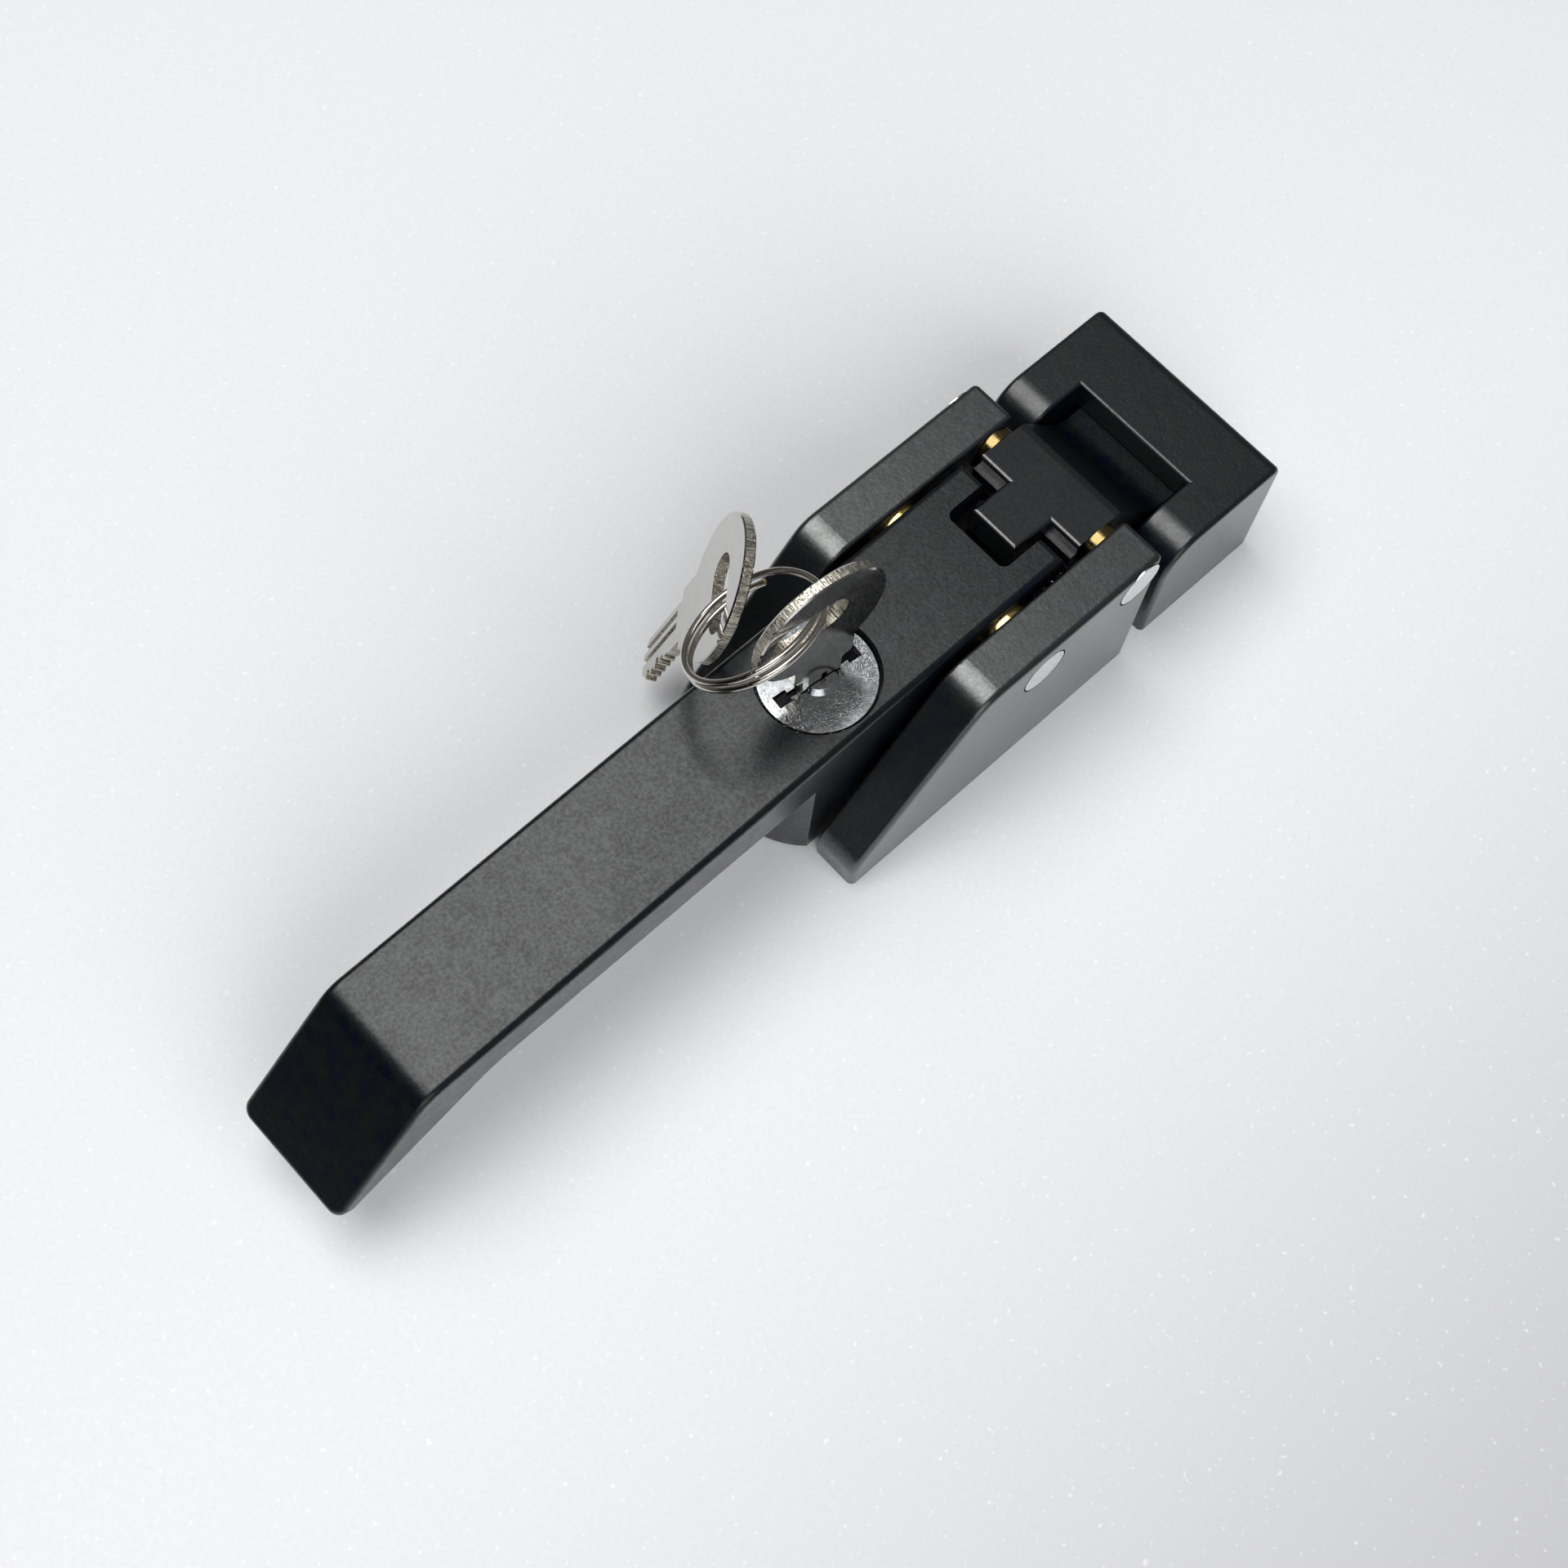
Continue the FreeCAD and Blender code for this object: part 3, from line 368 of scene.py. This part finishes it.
metalSet = {
    "chrome": {"shade": (0.66, 0.675, 0.69), "rough": 0.07, "size": 2.2, "scratch": 0.010},
    "nickel": {"shade": (0.55, 0.54, 0.52), "rough": 0.09, "size": 2.6, "scratch": 0.006},
    "ringNickel": {"shade": (0.64, 0.60, 0.55), "rough": 0.12, "size": 1.4, "scratch": 0.004},
    "springSteel": {"shade": (0.42, 0.42, 0.44), "rough": 0.30, "size": 1.0, "scratch": 0.006},
    "zincSteel": {"shade": (0.62, 0.63, 0.64), "rough": 0.32, "size": 1.2, "scratch": 0.008},
    # painted shade: a darker copy of brass for the claw's washers, which sit down in narrow gaps
    "shadedBrass": {"shade": (0.22, 0.165, 0.07), "rough": 0.15, "size": 0.8, "scratch": 0.005},
    "brass": {"shade": (0.74, 0.55, 0.22), "rough": 0.13, "size": 0.8, "scratch": 0.005},
    "dim": 0.90,
    "shadeBand": (0.35, 0.7),
    "roughBand": (0.3, 0.7),
    "roughSpread": (0.75, 1.35),
    "leans": ((0.4, 0.2, 0.6), (-0.3, 0.5, 2.1)),  # how the scratches lie
    "lineBand": (0.66, 0.74),
    "lineRough": 0.08,
    "fineSize": 0.12,
    "fineShare": 0.3,
}


def scratches(metal, at, lean, width=0.09, length=30.0):  # thin lines along one direction, 0 to 1
    turned = metal.add("ShaderNodeMapping", {"vector_type": "POINT"}, {"Vector": at, "Rotation": lean})
    stretch = {0: turned, 1: (1 / length, 1.0, 1.0)}
    drawn = metal.add("ShaderNodeVectorMath", {"operation": "MULTIPLY"}, stretch)
    return metal.fit(metal.noise(drawn, width, 1.0), *metalSet["lineBand"])


def plainMetal(name):
    settings = metalSet[name]
    metal = Paint(name)
    at = metal.place()
    cloud = metal.noise(at, settings["size"], 4.0, 0.62)
    fine = metal.noise(at, metalSet["fineSize"], 2.0)
    lines = scratches(metal, at, metalSet["leans"][0]) + scratches(metal, at, metalSet["leans"][1])
    spread = [settings["rough"] * share for share in metalSet["roughSpread"]]
    rough = metal.fit(cloud, *metalSet["roughBand"], *spread) + lines * metalSet["lineRough"]
    dark = dimmed(settings["shade"], metalSet["dim"])
    shade = metal.blendColor(metal.fit(cloud, *metalSet["shadeBand"]), settings["shade"], dark)
    wear = metal.bump(lines + fine * metalSet["fineShare"], settings["scratch"])
    return metal.finish({"Base Color": shade, "Metallic": 1.0, "Roughness": rough, "Normal": wear})


pinSet = {
    "shade": (0.86, 0.86, 0.87),
    "dim": 0.9,
    "shadeBand": (0.8, 1.2),
    "rough": 0.27,
    "roughBand": (0.3, 0.7),
    "roughSpread": (-0.06, 0.08),
    "cloudSize": 0.9,
    "markPitch": 0.16,
    "markDrift": 0.2,  # how fast the turned marks change along the pin
    "markDepth": 0.004,
}


def turnedSteel(node):  # pin with fine turned marks round its axis
    metal = Paint(node + "Steel")
    at = metal.place()
    x, y, z = metal.parts(at)
    middle, half = middleOf(node)
    out = ((x - middle.x) ** 2 + (z - middle.z) ** 2) ** 0.5
    drawn = metal.add("ShaderNodeCombineXYZ", None, {0: out, 1: y * pinSet["markDrift"]})
    marks = metal.noise(drawn, pinSet["markPitch"], 2.0, 0.6)
    cloud = metal.noise(at, pinSet["cloudSize"], 3.0, 0.6)
    spread = [pinSet["rough"] + step for step in pinSet["roughSpread"]]
    rough = metal.fit(cloud, *pinSet["roughBand"], *spread)
    dark = dimmed(pinSet["shade"], pinSet["dim"])
    shade = metal.blendColor(metal.fit(marks + cloud, *pinSet["shadeBand"]), dark, pinSet["shade"])
    return metal.finish({"Base Color": shade, "Metallic": 1.0, "Roughness": rough,
                         "Normal": metal.bump(marks, pinSet["markDepth"])})


lockSet = {
    "shade": (0.56, 0.58, 0.60),
    "brighter": 1.12,
    "rough": 0.09,
    "hazeRough": 0.15,
    "hazeSize": 3.0,
    "hazeBand": (0.46, 0.70),
    "domeRise": 0.7,
    "slotShade": (0.012, 0.012, 0.014),
    "slotFade": (0.55, 0.15),  # below the face, in millimetres
    "speckSize": 0.42,
    "speckBand": (0.62, 0.68),
    "speckDepth": 0.03,
    "leans": ((0.0, 0.0, 0.5), (0.0, 0.0, 2.3)),
    "lineWidth": 0.07,
    "lineLength": 20.0,
    "lineRough": 0.10,
    "lineShare": 0.2,
}


def lockChrome():  # polished face with fine wear, darker down in the slot and the keyway
    metal = Paint("lockChrome")
    at = metal.place()
    x, y, z = metal.parts(at)
    middle, half = middleOf("lock_plug")
    face = middle.z + half.z - lockSet["domeRise"] * mm
    clear = metal.fit(z, *[face - below * mm for below in lockSet["slotFade"]])
    haze = metal.fit(metal.noise(at, lockSet["hazeSize"], 5.0, 0.75), *lockSet["hazeBand"])
    specks = metal.fit(metal.noise(at, lockSet["speckSize"], 2.0, 0.55), *lockSet["speckBand"])
    size = lockSet["lineWidth"], lockSet["lineLength"]
    first, second = [scratches(metal, at, lean, *size) for lean in lockSet["leans"]]
    lines = first + second
    rough = metal.fit(haze, 0.0, 1.0, lockSet["rough"], lockSet["hazeRough"]) + lines * lockSet["lineRough"]
    faceTone = metal.blendColor(haze, lockSet["shade"], dimmed(lockSet["shade"], lockSet["brighter"]))
    shade = metal.blendColor(clear, lockSet["slotShade"], faceTone)
    wear = metal.bump(specks + lines * lockSet["lineShare"], lockSet["speckDepth"])
    return metal.finish({"Base Color": shade, "Metallic": 1.0, "Roughness": rough, "Normal": wear})


finishes = {
    "black_coat": blackCoat("leverCoat"),
    "chrome_plate": plainMetal("chrome"),
    "nickel_plate": plainMetal("nickel"),
    "zinc_steel": plainMetal("zincSteel"),
    "spring_steel": plainMetal("springSteel"),
    "brass": plainMetal("brass"),
}

slotOf = {part["node"]: part["material_slot"] for part in frame["record"]["subparts"]}


def dress(piece, *coats):
    piece.data.materials.clear()
    for coat in coats:
        piece.data.materials.append(coat)


for name, piece in nodes.items():
    dress(piece, finishes[slotOf[name]])
dress(nodes["base_housing"], blackCoat("baseCoat", ("claw_pivot_pin", "lever_pivot_pin"), "base_housing"))
dress(nodes["keeper_housing"], blackCoat("keeperCoat", (), "keeper_housing"))
dress(nodes["claw"], blackCoat("clawCoat", nose="claw"))
for name in ("claw_pivot_pin", "lever_pivot_pin"):
    dress(nodes[name], turnedSteel(name))
# painted shade: the claw's washers get the darker brass copy, standing in for the shade in their gaps
for name in ("claw_washer_near", "claw_washer_far"):
    dress(nodes[name], plainMetal("shadedBrass"))
dress(nodes["lock_plug"], lockChrome())
dress(nodes["split_ring"], plainMetal("ringNickel"))


print("keys")
keySet = {
    "rimShade": (0.82, 0.77, 0.66),
    "rimDim": 0.40,  # between the marks
    "rimRough": 0.26,
    "roughBand": (0.3, 0.7),
    "roughSpread": (-0.08, 0.10),
    "markLength": 0.36,
    "markAcross": 0.12,  # how little the marks change across the plate
    "markBand": (0.38, 0.60),
    "markDepth": 0.14,
    "pitSize": 0.30,
    "pitBand": (0.52, 0.70),
    "pitShare": 0.5,
    "rimTurn": 0.5,  # a face whose normal leans less than this towards the plate's is rim
    "sharpAngle": 28,
    "mergeWithin": 1e-6,
    "flatWithin": 0.5,
    "frames": {
        "key_in_lock": {"normal": (0.10453, 0.99452, 0.0), "up": (0.0, 0.0, 1.0), "body": "key"},
        "spare_key": {"normal": (-0.636, 0.698, 0.329), "up": (0.231, -0.234, 0.944), "body": "spare"},
    },
}


def solidCopy(node, name):  # merged copy of a CAD node, with its flat faces whole again
    mesh = nodes[node].data.copy()
    mesh.name = name
    shape = bmesh.new()
    shape.from_mesh(mesh)
    bmesh.ops.remove_doubles(shape, verts=shape.verts, dist=keySet["mergeWithin"])
    bmesh.ops.dissolve_limit(shape, angle_limit=math.radians(keySet["flatWithin"]), verts=shape.verts,
                             edges=shape.edges, delimit={"NORMAL"})
    return shape, mesh


def rimCoat(name, normal, up):  # cut edge of a key: marks run across the plate's thickness
    metal = Paint(name)
    at = metal.place()
    side = normal.cross(up)
    axes = [metal.add("ShaderNodeVectorMath", {"operation": "DOT_PRODUCT"}, {0: at, 1: axis}, out="Value")
            for axis in (side, up, normal)]
    axes[2] = axes[2] * keySet["markAcross"]
    drawn = metal.add("ShaderNodeCombineXYZ", None, dict(enumerate(axes)))
    marks = metal.noise(drawn, keySet["markLength"], 3.0, 0.65)
    pits = metal.fit(metal.noise(at, keySet["pitSize"], 2.0, 0.6), *keySet["pitBand"])
    dark = dimmed(keySet["rimShade"], keySet["rimDim"])
    shade = metal.blendColor(metal.fit(marks, *keySet["markBand"]), dark, keySet["rimShade"])
    spread = [keySet["rimRough"] + step for step in keySet["roughSpread"]]
    rough = metal.fit(marks, *keySet["roughBand"], *spread)
    return metal.finish({"Base Color": shade, "Metallic": 1.0, "Roughness": rough,
                         "Normal": metal.bump(marks - pits * keySet["pitShare"], keySet["markDepth"])})


def makeKey(node, frameOf):
    normal = Vector(frameOf["normal"]).normalized()
    up = Vector(frameOf["up"])
    up = (up - normal * up.dot(normal)).normalized()
    name = node.replace("_", "-") + "-plated"
    shape, mesh = solidCopy(node, name)
    for face in shape.faces:
        face.material_index = 1 if abs(face.normal.dot(normal)) < keySet["rimTurn"] else 0
        face.smooth = True
    piece = bpy.data.objects.new(name, mesh)
    dress(piece, finishes["nickel_plate"], rimCoat(name + "Rim", normal, up))
    shape.to_mesh(mesh)
    shape.free()
    bpy.context.scene.collection.objects.link(piece)
    mesh.set_sharp_from_angle(angle=math.radians(keySet["sharpAngle"]))
    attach(piece, frameOf["body"])
    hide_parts(node)


for node, frameOf in keySet["frames"].items():
    makeKey(node, frameOf)


print("done")
